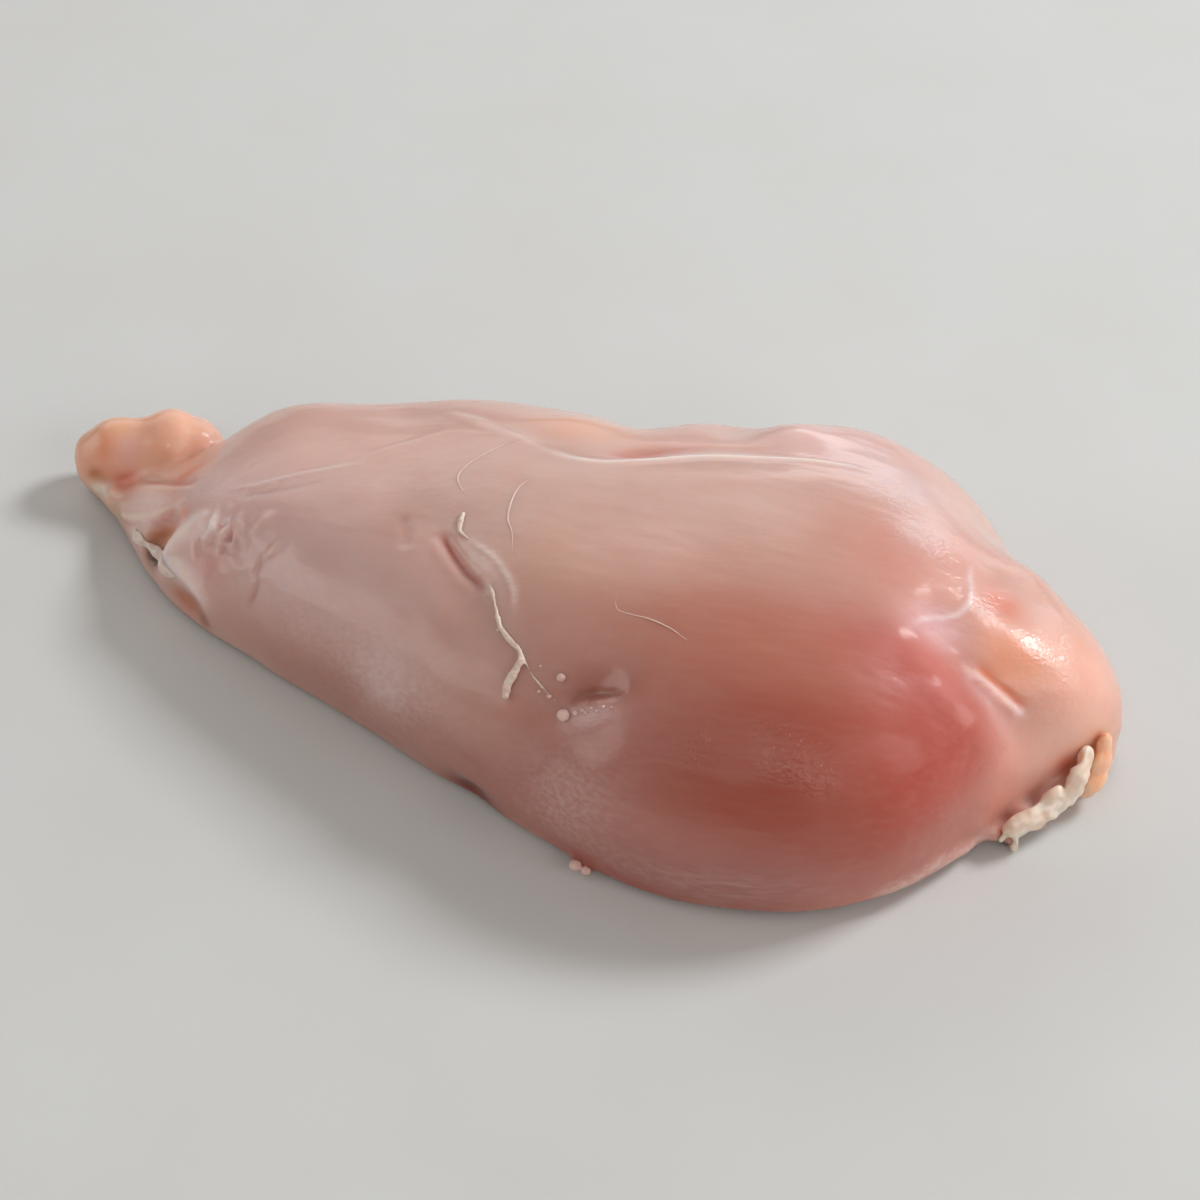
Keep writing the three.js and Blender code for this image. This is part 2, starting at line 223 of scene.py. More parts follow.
# Colour of the flesh, and washes over it: x, y, z, reach along, across and up, turn, colour, strength.
# Some washes are painted shade or painted sheen; their rows say so.
FLESH = (0.68, 0.4, 0.33)
WASHES = [
    (10, 0, 37, 60, 20, 18, 5, (0.72, 0.45, 0.37), 0.9),
    (-34, -20, 22, 30, 15, 14, -15, (0.74, 0.5, 0.47), 0.9),
    (-8, -36, 8, 46, 8, 9, -17, (0.47, 0.215, 0.17), 0.85),
    (-42, 8, 26, 22, 14, 14, 0, (0.8, 0.48, 0.4), 0.85),
    (-60, -8, 14, 14, 14, 16, 0, (0.8, 0.54, 0.5), 0.8),
    (-82, 8, 9, 14, 9, 12, 15, (0.97, 0.54, 0.36), 1),
    (60, -34, 24, 40, 22, 26, 5, (0.48, 0.115, 0.075), 1),
    (76, -22, 24, 15, 12, 16, 0, (0.52, 0.075, 0.045), 0.9),
    (38, -21, 37, 14, 9, 10, 0, (0.62, 0.25, 0.18), 0.7),
    (52, -22, 37, 14, 8, 10, 0, (0.58, 0.22, 0.155), 0.7),
    (68, -14, 32, 12, 8, 12, 0, (0.58, 0.12, 0.09), 0.9),
    (50, -46, 9, 36, 7, 8, 0, (0.42, 0.15, 0.12), 0.8),
    (24, -43, 16, 14, 8, 12, 10, (0.5, 0.21, 0.17), 0.8),
    (79, -24, 11, 9, 10, 8, 60, (0.5, 0.16, 0.12), 0.7),
    (84, -11, 14, 6, 6, 8, 0, (0.76, 0.3, 0.23), 0.7),
    (62, 6, 38, 15, 12, 10, 0, (0.74, 0.34, 0.27), 0.9),
    (89, 4, 22, 10, 9.5, 14, 0, (0.92, 0.5, 0.39), 1),
    (91, -3, 15, 6, 6, 8, 0, (0.92, 0.52, 0.42), 0.9),
    (80, -1, 28.5, 7, 4.5, 6, -12, (0.9, 0.4, 0.25), 0.9),
    (80, -8.8, 24.5, 7, 2, 5, 6, (0.8, 0.44, 0.42), 0.5),
    (68, -4.5, 34, 5, 3.4, 6, 20, (0.78, 0.4, 0.41), 0.8),
    (76, 7, 32.5, 3.4, 3, 5, 0, (0.78, 0.24, 0.15), 0.8),
    (10, 24, 33, 56, 8, 14, 5, (0.8, 0.5, 0.43), 0.8),
    (11, 14.5, 36, 6, 2.2, 5, 35, (0.72, 0.34, 0.3), 0.7),
    (38, 30, 34, 14, 8, 12, -10, (0.84, 0.56, 0.53), 0.8),
    # painted sheen: whitened where the skin sparkles
    (60, 12.5, 37.6, 5, 4, 6, -20, (0.86, 0.6, 0.56), 0.8),
    (52, 24, 36, 10, 5, 8, -10, (0.78, 0.56, 0.55), 0.7),
    (-4, 19, 33, 9, 5, 8, -10, (0.88, 0.5, 0.36), 0.8),
    (-21, -11.5, 30.5, 5, 5, 5, 0, (0.6, 0.32, 0.25), 0.6),
    (-14.5, -32.5, 16, 5, 4, 6, 0, (0.72, 0.52, 0.5), 0.7),
    (8, -14, 36, 10, 7, 7, 0, (0.74, 0.44, 0.33), 0.6),
    (20, -12, 37, 12, 6, 7, 0, (0.8, 0.5, 0.42), 0.6),
    (-2.5, -18.8, 32, 6, 1.8, 4, -41, (0.76, 0.54, 0.48), 0.8),
    # painted shade inside the pit
    (24, -34.2, 28.6, 5, 1.6, 4, 8, (0.42, 0.13, 0.09), 0.8),
    (25, -37.4, 26.5, 6, 1.6, 4, 12, (0.68, 0.42, 0.4), 0.8),
    # painted shade low along the near side, by the table
    (28, -47, 3.4, 22, 4, 3, 5, (0.4, 0.09, 0.06), 0.9),
    # painted shadow in the gap under the lifted edge
    (4, -39.8, 3, 5.5, 2.2, 3, -18, (0.22, 0.04, 0.025), 1),
    (-68.3, -10.8, 9.8, 3.6, 2.2, 3.2, 22, (0.7, 0.24, 0.08), 1),
    (-64, -9.8, 15.4, 1.6, 1.2, 2, 0, (0.8, 0.32, 0.22), 0.9),
    # painted shadow in the gap under the strand
    (-69.4, -12.6, 6, 2, 1.1, 2, -40, (0.14, 0.07, 0.04), 1),
    (-59, -19.7, 5.2, 5, 1.9, 2.4, -30, (0.58, 0.22, 0.13), 1),
    (-54.8, -21.5, 4, 1.6, 1.2, 1.6, 0, (0.34, 0.12, 0.08), 0.8),
    (-88.4, 1.3, 7, 1.6, 1.6, 1.6, 0, (0.6, 0.22, 0.07), 1),
    (-75, -4, 9, 6.5, 4.5, 5.5, -20, (0.86, 0.62, 0.55), 1),
    (-56.5, -13, 18, 3, 2.5, 3, 0, (0.92, 0.74, 0.7), 0.7),
    (-87.4, 4.4, 10.5, 1.4, 2.4, 4, 14, (0.9, 0.36, 0.18), 0.7),
    (-83, 4.8, 11.5, 2.4, 2.4, 4, 14, (0.96, 0.58, 0.5), 0.8),
    (-81.7, 1.7, 7.6, 3.4, 1.5, 2, 12, (0.8, 0.2, 0.1), 1),
    (-69, 1.2, 13.8, 4, 1.6, 2.5, 25, (0.8, 0.26, 0.17), 0.8),
    (-87.2, 0.9, 4.6, 2.6, 1.8, 1.8, -20, (0.86, 0.68, 0.56), 0.9),
    # painted shade under the tail
    (-82.6, -2.6, 3.4, 3, 2, 2, -20, (0.66, 0.46, 0.32), 0.9),
    (-54.5, -18.6, 14.8, 3, 2.6, 4, -30, (0.72, 0.36, 0.32), 0.8),
    (94.8, 3.8, 7, 3, 4.5, 7, -12, (0.95, 0.56, 0.36), 1),
    (90.4, -0.4, 10, 3, 2, 2, -30, (0.72, 0.2, 0.12), 0.8),
]
WASH_SPREAD = 1.25

# Painted shade: the flesh is darkened where it meets the table.
CONTACT_SHADE = (0.12, 0.025, 0.015)
CONTACT_SHADE_HEIGHT = 1.5
CONTACT_SHADE_STRENGTH = 0.95

# Washes of colour along creases and ridges: name, half width, colour, strength.
# Some are painted shade or a painted glow; their rows say so.
TRAILS = [
    ("seam start", 1.2, (0.88, 0.66, 0.6), 0.6),
    ("seam", 1.0, (0.95, 0.78, 0.72), 0.95),
    ("arc", 0.5, (0.9, 0.72, 0.72), 0.5),
    # painted glow: orange in the fold stands in for light passing through the flesh
    ("fold", 1.1, (0.86, 0.3, 0.15), 0.9),
    ("lip", 0.9, (0.93, 0.62, 0.6), 0.5),
    ("rim", 1.4, (0.6, 0.34, 0.28), 0.7),
    ("upper line", 0.6, (0.85, 0.62, 0.56), 0.35),
    ("tear", 1, (0.6, 0.18, 0.12), 0.85),
    ("film edge", 0.4, (0.86, 0.66, 0.58), 0.6),
    # painted shade in the pit
    ("pit", 1, (0.5, 0.2, 0.12), 0.7),
    ("strip", 2, (0.9, 0.73, 0.68), 0.9),
    ("lobe edge", 1.1, (0.76, 0.36, 0.28), 0.7),
    ("tail crease", 0.9, (0.62, 0.3, 0.26), 0.7),
    ("tail line", 0.5, (0.9, 0.72, 0.66), 0.6),
    ("tail furrow", 0.6, (0.66, 0.4, 0.36), 0.5),
    ("wrinkle", 0.9, (0.64, 0.34, 0.3), 0.6),
    ("tail edge", 0.9, (0.88, 0.7, 0.6), 0.9),
]

# Thin whitish film over the flesh: x, y, z, reach along, across and up, turn, strength.
FILMS = [
    (68.6, -3.6, 34.5, 6, 3.4, 6, 20, 0.4),
    (54, 20, 37, 8, 4, 6, -10, 0.6),
    (-14.5, -32.5, 16, 13, 6, 7, -17, 0.5),
    (-32, -25, 18, 12, 6, 7, -17, 0.3),
    (-73, -5.5, 9.5, 6, 3.4, 5, -20, 0.9),
    (-62, -4, 17, 7, 4, 6, -20, 0.7),
    (-48, -6.5, 23, 11, 3, 6, 15, 0.5),
    (-55.4, -14.2, 18.6, 2.6, 1.8, 3, 20, 0.9),
    (50, -46.5, 8, 34, 4, 4, 0, 0.3),
    (24, -44, 14, 14, 5, 8, 10, 0.45),
    (-25, 0, 31, 20, 10, 8, 0, 0.25),
    (86.5, -2, 23, 5, 3.4, 5, 0, 0.2),
    (-3, -18.4, 32.2, 6.5, 2.6, 4, -41, 0.45),
]

# Film along creases and ridges: name, half width, strength.
FILM_LINES = [
    ("strip", 1.6, 1),
    ("lip", 1.2, 0.7),
    ("rim", 1.6, 0.6),
    ("seam", 1.2, 0.6),
    ("arc", 0.8, 0.8),
    ("film edge", 0.8, 0.8),
]

# Places where the skin is dull: x, y, z, reach along, across and up, turn, strength.
DULL = [
    (69, -3, 34.5, 8, 6, 8, 20, 1),
    (69, -12.5, 35, 5, 4, 6, 0, 1),
    (75, -6.5, 29.4, 4, 3, 5, 0, 1),
    (69, -33, 25, 9, 5, 8, 0, 0.9),
    (87.5, -8.5, 8, 4, 4, 4, 0, 1),
    (-75.4, 11.8, 14.6, 3, 3, 3, 0, 1),
    (-71, 11, 14.5, 3, 3, 3, 0, 0.5),
]
DULL_SPREAD = 1.5
FILM_DULLS = 0.6  # how dull a full film is
COAT = 0.7  # wetness of skin that is neither dull nor glinting

# Places that glint: x, y, z, reach along, across and up, turn, strength. Pale specks are painted there too,
# as painted highlights.
GLINTS = [
    (58.5, -36, 29.6, 8, 3.4, 6, -10, 1),
    (43, -39.5, 29.5, 4, 3, 5, 0, 0.8),
    (53, -34.5, 32.3, 2.5, 1.5, 4, 0, 0.6),
    (36, -43, 25, 4, 2, 4, 0, 0.4),
    (61, 11.5, 37.6, 6, 5, 6, -20, 0.9),
    (54, 18, 37.7, 3, 3, 5, 0, 0.7),
    (87, 4, 26, 6, 7, 8, 0, 0.9),
    (73.5, 4.5, 33.5, 2.5, 3, 4, 0, 0.8),
    (83.2, -11, 21, 1.6, 1.6, 3, 0, 1),
    (75, 20, 28, 5, 5, 8, 0, 0.7),
    (-52.4, -15.4, 19, 5, 4, 6, 0, 1),
    (25, -37, 27, 5, 2, 5, 0, 0.8),
]


# ---------------------------------------------------------------- meshes as arrays

def unit_ball(subdivisions):
    """Corners and triangles of a round ball of radius 1."""
    made = bmesh.new()
    bmesh.ops.create_icosphere(made, subdivisions=subdivisions, radius=1)
    corners = np.array([v.co[:] for v in made.verts])
    faces = np.array([[v.index for v in f.verts] for f in made.faces])
    made.free()
    return corners, faces


def joined(meshes):
    """Several (corners, faces) as one."""
    starts = np.cumsum([0] + [len(corners) for corners, _ in meshes])
    corners = np.concatenate([corners for corners, _ in meshes])
    faces = np.concatenate([faces + start for (_, faces), start in zip(meshes, starts)])
    return corners, faces


def remeshed(corners, faces, voxel):
    """The outer skin of closed meshes taken together, in even quads about one voxel wide."""
    mesh = bpy.data.meshes.new("source")
    mesh.from_pydata(corners.tolist(), [], faces.tolist())
    holder = bpy.data.objects.new("source", mesh)
    bpy.context.scene.collection.objects.link(holder)
    modifier = holder.modifiers.new("voxels", "REMESH")
    modifier.mode = "VOXEL"
    modifier.voxel_size = voxel
    shown = holder.evaluated_get(bpy.context.evaluated_depsgraph_get())
    result = shown.to_mesh()
    points = np.empty(len(result.vertices) * 3)
    result.vertices.foreach_get("co", points)
    quads = np.empty(len(result.loops), int)
    result.loops.foreach_get("vertex_index", quads)
    shown.to_mesh_clear()
    bpy.data.objects.remove(holder)
    bpy.data.meshes.remove(mesh)
    return points.reshape(-1, 3), quads.reshape(-1, 4)


def edges_of(quads):
    """Each edge once, as the numbers of its two ends."""
    pairs = np.concatenate([np.stack([quads[:, i], quads[:, (i + 1) % 4]], axis=1) for i in range(4)])
    return np.unique(np.sort(pairs, axis=1), axis=0)


def smoothed(points, quads, rounds, steps, weight=1):
    """Rounds of smoothing. A step less than 0 pushes back out, so that the form keeps its size."""
    a, b = edges_of(quads).T
    size = len(points)
    count = np.bincount(a, minlength=size) + np.bincount(b, minlength=size)
    weight = np.broadcast_to(weight, size)[:, None]
    points = points.copy()
    for _ in range(rounds):
        for step in steps:
            total = [
                np.bincount(a, points[b, k], size) + np.bincount(b, points[a, k], size)
                for k in range(3)
            ]
            points += step * weight * (np.stack(total, axis=1) / count[:, None] - points)
    return points


def normals_of(points, quads):
    """Outward direction at each point."""
    p = points[quads]
    face = np.cross(p[:, 2] - p[:, 0], p[:, 3] - p[:, 1])
    total = np.zeros_like(points)
    for corner in range(4):
        for k in range(3):
            total[:, k] += np.bincount(quads[:, corner], face[:, k], len(points))
    return total / np.maximum(np.linalg.norm(total, axis=1), 1e-9)[:, None]


def ripple(points, size, stretch, seed):
    """Smooth noise from -1 to 1 at each point, in grains of about size."""
    scaled = points / (size * np.array(stretch)) + seed
    return np.array([noise.noise(Vector(p)) for p in scaled.tolist()])


def unevenness(points, bumps):
    """Sum of ripples at each point: height, grain, stretch and seed of each."""
    total = np.zeros(len(points))
    for height, *form in bumps:
        total += height * ripple(points, *form)
    return total


def add_piece(name, points, faces, material):
    """A smooth piece that rides on the part, from an array of corners and a list of faces."""
    mesh = bpy.data.meshes.new(name)
    mesh.from_pydata((points * MM).tolist(), [], faces)
    mesh.polygons.foreach_set("use_smooth", [True] * len(mesh.polygons))
    mesh.materials.append(material)
    piece = bpy.data.objects.new(name, mesh)
    bpy.context.scene.collection.objects.link(piece)
    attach(piece, BODY)
    return piece


# ---------------------------------------------------------------- curves and places

def curve(points, step):
    """Even samples, about a step apart, of a smooth curve through points."""
    p = np.array(points, float)
    ends = np.vstack([2 * p[0] - p[1], p, 2 * p[-1] - p[-2]])
    t = np.linspace(0, 1, SPAN_SAMPLES, endpoint=False)[:, None]
    dense = [
        0.5 * (2 * b + (c - a) * t + (2 * a - 5 * b + 4 * c - d) * t**2 + (3 * b - a - 3 * c + d) * t**3)
        for a, b, c, d in zip(ends[:-3], ends[1:-2], ends[2:-1], ends[3:])
    ]
    dense = np.vstack([*dense, p[-1:]])
    run = np.concatenate([[0], np.cumsum(np.linalg.norm(np.diff(dense, axis=0), axis=1))])
    even = np.linspace(0, run[-1], max(round(run[-1] / step), 2) + 1)
    return np.stack([np.interp(even, run, dense[:, k]) for k in range(p.shape[1])], axis=1)


class Skin:
    """A surface that pieces are laid on."""

    def __init__(self, points, quads):
        self.tree = BVHTree.FromPolygons(points.tolist(), quads.tolist())

    def touch(self, point):
        """Place and normal on the skin: from above for (x, y), the nearest one for (x, y, z)."""
        if len(point) == 2:
            place, normal, *_ = self.tree.ray_cast(Vector((*point, OVERHEAD)), Vector((0, 0, -1)))
        else:
            place, normal, *_ = self.tree.find_nearest(Vector(point))
        return np.array(place), np.array(normal)

    def route(self, points):
        """A smooth curve through places on the skin."""
        return curve([self.touch(p)[0] for p in points], CURVE_STEP)


def spot(points, x, y, z, along, across, up, turn):
    """1 at the middle of a soft round place and 0 far from it."""
    c, s = math.cos(math.radians(turn)), math.sin(math.radians(turn))
    dx, dy, dz = (points - (x, y, z)).T
    squared = ((dx * c + dy * s) / along) ** 2 + ((dy * c - dx * s) / across) ** 2 + (dz / up) ** 2
    return np.exp(-squared)


def patch(points, place, spread):
    """A spot with an even middle, which is the wider the larger spread is."""
    return np.minimum(spread * spot(points, *place), 1)


def near_route(points, route, reach):
    """Points within reach of a route: their numbers, distance, share of its length, side and foot."""
    inside = np.all((points > route.min(0) - reach) & (points < route.max(0) + reach), axis=1)
    which = np.nonzero(inside)[0]
    p = points[which]
    best = np.full(len(p), np.inf)
    share = np.zeros(len(p))
    side = np.zeros(len(p))
    foot = np.zeros_like(p)
    for i, (a, run) in enumerate(zip(route[:-1], np.diff(route, axis=0))):
        t = np.clip((p - a) @ run / (run @ run), 0, 1)
        at = a + t[:, None] * run
        distance = np.linalg.norm(p - at, axis=1)
        closer = distance < best
        best[closer] = distance[closer]
        share[closer] = (i + t[closer]) / (len(route) - 1)
        leftward = run[0] * (p[:, 1] - at[:, 1]) - run[1] * (p[:, 0] - at[:, 0])
        side[closer] = np.sign(leftward[closer])
        foot[closer] = at[closer]
    kept = best < reach
    return which[kept], best[kept], share[kept], side[kept], foot[kept]


def ease(t):
    """From 0 to 1 with soft ends."""
    t = np.clip(t, 0, 1)
    return t * t * (3 - 2 * t)


def ends_fade(share):
    """1 along a route, and 0 at its two ends."""
    return ease(share / CREASE_ENDS) * ease((1 - share) / CREASE_ENDS)


# ---------------------------------------------------------------- the flesh

def smooth_solid():
    """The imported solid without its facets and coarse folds, as even quads in millimetres."""
    source = bmesh.new()
    source.from_mesh(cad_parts[NODE].data)
    bmesh.ops.remove_doubles(source, verts=source.verts, dist=WELD)
    bmesh.ops.triangulate(source, faces=source.faces)
    corners = np.array([v.co[:] for v in source.verts]) / MM
    faces = np.array([[v.index for v in f.verts] for f in source.faces])
    source.free()
    lobes = [ball(place[:3], place[3:6], turned(place[6]), subdivisions=3) for place in TAIL_LOBES]
    points, quads = remeshed(*joined([(corners, faces), *lobes]), VOXEL)
    points = smoothed(points, quads, SMOOTH_ROUNDS, SMOOTH_STEPS)
    level = np.zeros(len(points))
    for *place, strength in LEVELLED:
        level = np.maximum(level, strength * patch(points, place, LEVEL_SPREAD))
    return smoothed(points, quads, LEVEL_ROUNDS, LEVEL_STEPS, weight=level), quads


def crease(points, normals, route, depth, half, left, right, pull):
    """How far each point moves for one crease."""
    move = np.zeros_like(points)
    which, distance, share, side, foot = near_route(points, route, CREASE_REACH * half)
    t = distance / half
    fade = ends_fade(share)
    bank = np.where(side > 0, left, right) * np.exp(-((t - BANK_AT) ** 2))
    rise = fade * (bank - depth * np.exp(-(t**2)))
    move[which] = rise[:, None] * normals[which]
    move[which] += (fade * pull * np.exp(-((t / PULL_REACH) ** 2)))[:, None] * (foot - points[which])
    return move


def shaped(points, quads):
    """The flesh with its swellings, creases and fine unevenness."""
    normals = normals_of(points, quads)
    skin = Skin(points, quads)
    routes = {name: skin.route(places) for name, places, *_ in CREASES}
    move = np.zeros_like(points)
    for *place, rise in SWELLS:
        move += rise * spot(points, *place)[:, None] * normals
    for name, _, *form in CREASES:
        move += crease(points, normals, routes[name], *form)
    for *place, height, grain in CRUMPLES:
        weight = spot(points, *place)
        near = weight > LEAST_CRUMPLE
        rise = height * weight[near] * ripple(points[near], grain, ROUND, seed=grain)
        move[near] += rise[:, None] * normals[near]
    off_table = ease((points[:, 2] - FLAT_BELOW) / UNEVEN_RISE)
    move += (unevenness(points, UNEVEN) * off_table)[:, None] * normals
    move -= UNDERCUT * np.exp(-((points[:, 2] / UNDERCUT_HEIGHT) ** 2))[:, None] * normals * (1, 1, 0)
    moved = points + move
    moved[:, 2] = np.where(points[:, 2] < FLAT_BELOW, 0, np.maximum(moved[:, 2], CLEAR_OF_TABLE))
    return moved, routes


def tinted(points, routes):
    """Colour of the flesh at each point, before its fine streaks. It holds painted shade near the table, in
    the pit and in gaps, painted sheen and a painted glow in the fold.
    """
    colour = np.tile(FLESH, (len(points), 1))
    for *place, wash, strength in WASHES:
        weight = strength * patch(points, place, WASH_SPREAD)
        colour += weight[:, None] * (np.array(wash) - colour)
    # Painted shade near the table.
    low = np.exp(-((points[:, 2] / CONTACT_SHADE_HEIGHT) ** 2))[:, None]
    colour += CONTACT_SHADE_STRENGTH * low * (np.array(CONTACT_SHADE) - colour)
    for name, half, wash, strength in TRAILS:
        which, distance, share, *_ = near_route(points, routes[name], TRAIL_REACH * half)
        weight = strength * ends_fade(share) * np.exp(-((distance / half) ** 2))
        colour[which] += weight[:, None] * (np.array(wash) - colour[which])
    return colour


def filmed(points, routes):
    """How much whitish film covers each point."""
    film = np.zeros(len(points))
    for *place, strength in FILMS:
        film = np.maximum(film, strength * patch(points, place, WASH_SPREAD))
    for name, half, strength in FILM_LINES:
        which, distance, share, *_ = near_route(points, routes[name], TRAIL_REACH * half)
        film[which] = np.maximum(film[which], strength * ends_fade(share) * np.exp(-((distance / half) ** 2)))
    return film


def glinting(points):
    """How strongly each point glints."""
    shine = np.zeros(len(points))
    for *place, strength in GLINTS:
        shine = np.maximum(shine, strength * spot(points, *place))
    return shine


def coated(points, film, shine):
    """How wet each point is."""
    dull = FILM_DULLS * film
    for *place, strength in DULL:
        dull = np.maximum(dull, strength * patch(points, place, DULL_SPREAD))
    return COAT * (1 - dull) + (1 - COAT) * shine


def plain_underside(points, faces):
    """Faces with all that lie flat on the table joined into one."""
    flat = np.all(points[faces][:, :, 2] == 0, axis=1)
    sides = {(f[i], f[(i + 1) % 4]) for f in faces[flat].tolist() for i in range(4)}
    following = {a: b for a, b in sides if (b, a) not in sides}
    rings = []
    while following:
        ring = [next(iter(following))]
        while ring[-1] in following:
            ring.append(following.pop(ring[-1]))
        rings.append(ring[:-1])
    return faces[~flat].tolist() + [ring for ring in rings if len(ring) > LEAST_RING]


def used_only(points, faces):
    """Numbers of the points that faces use, and the faces renumbered."""
    used = np.unique(np.concatenate(faces))
    new = np.zeros(len(points), int)
    new[used] = np.arange(len(used))
    return used, [new[face].tolist() for face in faces]


def flesh():
    """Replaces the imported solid, and returns the skin that the small pieces lie on."""
    base, quads = smooth_solid()
    points, routes = shaped(base, quads)
    used, faces = used_only(points, plain_underside(points, quads))
    piece = add_piece("flesh", points[used], faces, flesh_material())
    tint = piece.data.attributes.new("tint", "FLOAT_COLOR", "POINT")
    colour = np.ones((len(used), 4), np.float32)
    colour[:, :3] = tinted(base, routes)[used]
    tint.data.foreach_set("color", colour.ravel())
    shine = glinting(base)
    film = filmed(base, routes)
    for name, values in (("shine", shine), ("film", film), ("coat", coated(base, film, shine))):
        layer = piece.data.attributes.new(name, "FLOAT", "POINT")
        layer.data.foreach_set("value", values[used].astype(np.float32))
    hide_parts(NODE)
    return Skin(points, quads)


# ---------------------------------------------------------------- small pieces, moulded from balls

def turned(degrees):
    """Rows are the three axes of something turned about Z."""
    c, s = math.cos(math.radians(degrees)), math.sin(math.radians(degrees))
    return np.array([(c, s, 0), (-s, c, 0), (0, 0, 1)])


def ball(centre, half_sizes, axes, subdivisions=2):
    """Corners and triangles of a ball drawn out along its axes."""
    corners, faces = unit_ball(subdivisions)
    return corners * half_sizes @ axes + centre, faces


def laid(skin, points, radii, sunk, wide=1, flat=1, step=BALL_STEP):
    """Overlapping balls along a route on the skin: radii at its points, the share of their height that
    is sunk in the skin, and how wide and flat they are."""
    places = [skin.touch(p) for p in points]
    route = curve([place for place, _ in places], step)
    normals = curve([normal for _, normal in places], NORMAL_STEP)
    count = len(route)
    share = np.linspace(0, 1, count)
    radius = np.interp(share, np.linspace(0, 1, len(radii)), radii)
    ahead = np.gradient(route, axis=0)
    made = []
    for i in range(count):
        up = normals[round(share[i] * (len(normals) - 1))]
        up = up / np.linalg.norm(up)
        front = ahead[i] - (ahead[i] @ up) * up
        front /= np.linalg.norm(front)
        axes = np.array([front, np.cross(up, front), up])
        r = radius[i]
        centre = route[i] + up * r * flat * (1 - 2 * sunk)
        made.append(ball(centre, (r, r * wide, r * flat), axes, subdivisions=1))
    return made


def moulded(name, balls, voxel, rounds, material, bumps=()):
    """Balls melted into one lump of fat, smoothed in rounds and made uneven by bumps."""
    points, quads = remeshed(*joined(balls), voxel)
    points = smoothed(points, quads, rounds, PIECE_STEPS)
    points += unevenness(points, bumps)[:, None] * normals_of(points, quads)
    points[:, 2] = np.maximum(points[:, 2], CLEAR_OF_TABLE)
    add_piece(name, points, quads.tolist(), material)


def fat_fringe(material):
    """Lumpy cream fat along the foot of the shoulder end, with a few drops that hang lower.

    A row of band is x, y, z and half height. A row of drops is centre and half sizes."""
    band = [
        (93, 1.2, 10.8, 1.6), (93.1, -0.2, 8.6, 3.3), (92.7, -2, 7.2, 3.3), (91.7, -4, 6.2, 1.9),
        (90.6, -5.9, 5.9, 3), (89.5, -7.9, 5.2, 2.6), (88.3, -9.8, 4.6, 2.4), (86.9, -11.6, 4.1, 2.3),
        (85.5, -12.9, 4.4, 1.5),
    ]
    drops = [
        ((93.5, -1.2, 5.2), (1, 1.4, 1.2)),
        ((91.2, -6.6, 3.9), (1.1, 1.4, 1.3)),
        ((87.5, -13.3, 1.7), (0.9, 0.9, 1.8)),
        ((85.5, -13.9, 3), (0.8, 0.9, 1)),
    ]
    spacing = 0.6
    outward = 0.6
    thick = 1.2
    wide = 1.6
    taller = 1.15
    axes = turned(-27)
    balls = [
        ball((x + outward, y, z), (thick, wide, taller * height), axes)
        for x, y, z, height in curve(band, spacing)
    ]
    balls += [ball(centre, half_sizes, axes) for centre, half_sizes in drops]
    bumps = [(0.8, 2.8, (1, 1, 1.5), 3), (0.3, 1.3, ROUND, 8)]
    moulded("fat_fringe", balls, 0.28, 3, material, bumps)


def orange_fat(material):
    """Flap of orange fat beside the fringe: centre, half sizes and turn of each lump."""
    lumps = [
        ((95.5, 4.8, 10.6), (1.2, 1.9, 2.8), -12),
        ((95.5, 3.6, 8), (1.5, 3, 3), -12),
        ((95.2, 2.5, 5.4), (1.7, 3.4, 2.8), -14),
        ((94.5, 2, 3.8), (1.6, 2.8, 1.9), -16),
    ]
    balls = [ball(centre, half_sizes, turned(turn)) for centre, half_sizes, turn in lumps]
    moulded("orange_fat", balls, 0.35, 8, material, [(0.2, 3, ROUND, 5)])


def tendon(skin, material):
    """White thread above and below the tear, with a thicker loose end and a thin branch."""
    knot = laid(
        skin,
        [(-11.3, -8.8), (-11.1, -9.6), (-10.8, -11), (-10, -12.4), (-8.2, -13.5)],
        [0.4, 0.62, 0.4, 0.46, 0.2], sunk=0.4,
    )
    lower = laid(
        skin,
        [(-0.6, -21.4), (0.6, -22.8), (2, -24.8), (3.4, -26.8), (4.8, -28.3), (7.1, -29.9), (9, -30.9),
         (10.2, -32.4)],
        [0.15, 0.42, 0.3, 0.52, 0.4, 0.56, 0.42, 0.66], sunk=0.4,
    )
    loose = laid(
        skin,
        [(10.2, -32.4), (9.5, -34.5, 28.1), (9, -35.9, 26.3), (9.2, -37, 24.9)],
        [0.66, 0.72, 0.78, 0.7], sunk=0.12,
    )
    branch = laid(
        skin,
        [(9.9, -31.7), (12.5, -33.7), (14.9, -34.8), (17.5, -35.7), (19, -35.5)],
        [0.3, 0.2, 0.24, 0.16, 0.1], sunk=0.45,
    )
    bumps = [(0.14, 1.1, (1.6, 1, 1), 2), (0.08, 0.5, (1.6, 1, 1), 4)]
    moulded("tendon", knot + lower + loose + branch, 0.16, 3, material, bumps)


def veins(skin, material):
    """Fine pale lines just proud of the skin."""
    lines = [
        ([(-10.4, 12.6), (-12.4, 9.4), (-14.1, 6.2), (-15.8, 2.6), (-16.2, -0.3), (-15, -2.6), (-12.9, -4.6)],
         [0.08, 0.16, 0.2, 0.2, 0.22, 0.2, 0.08]),
        ([(-2.7, 2.1), (-4.5, -0.8), (-4.5, -4.2), (-3.3, -8.7), (-1.1, -11.8), (0.8, -15.6)],
         [0.08, 0.2, 0.24, 0.22, 0.16, 0.08]),
        ([(21.1, -20.3), (21.6, -21.9), (23, -23), (28, -23.3), (32, -24.2), (35.5, -25.6)],
         [0.08, 0.14, 0.16, 0.2, 0.16, 0.08]),
    ]
    balls = []
    for points, radii in lines:
        balls += laid(skin, points, radii, flat=0.5, sunk=0.36, step=0.1)
    moulded("veins", balls, 0.08, 1, material)


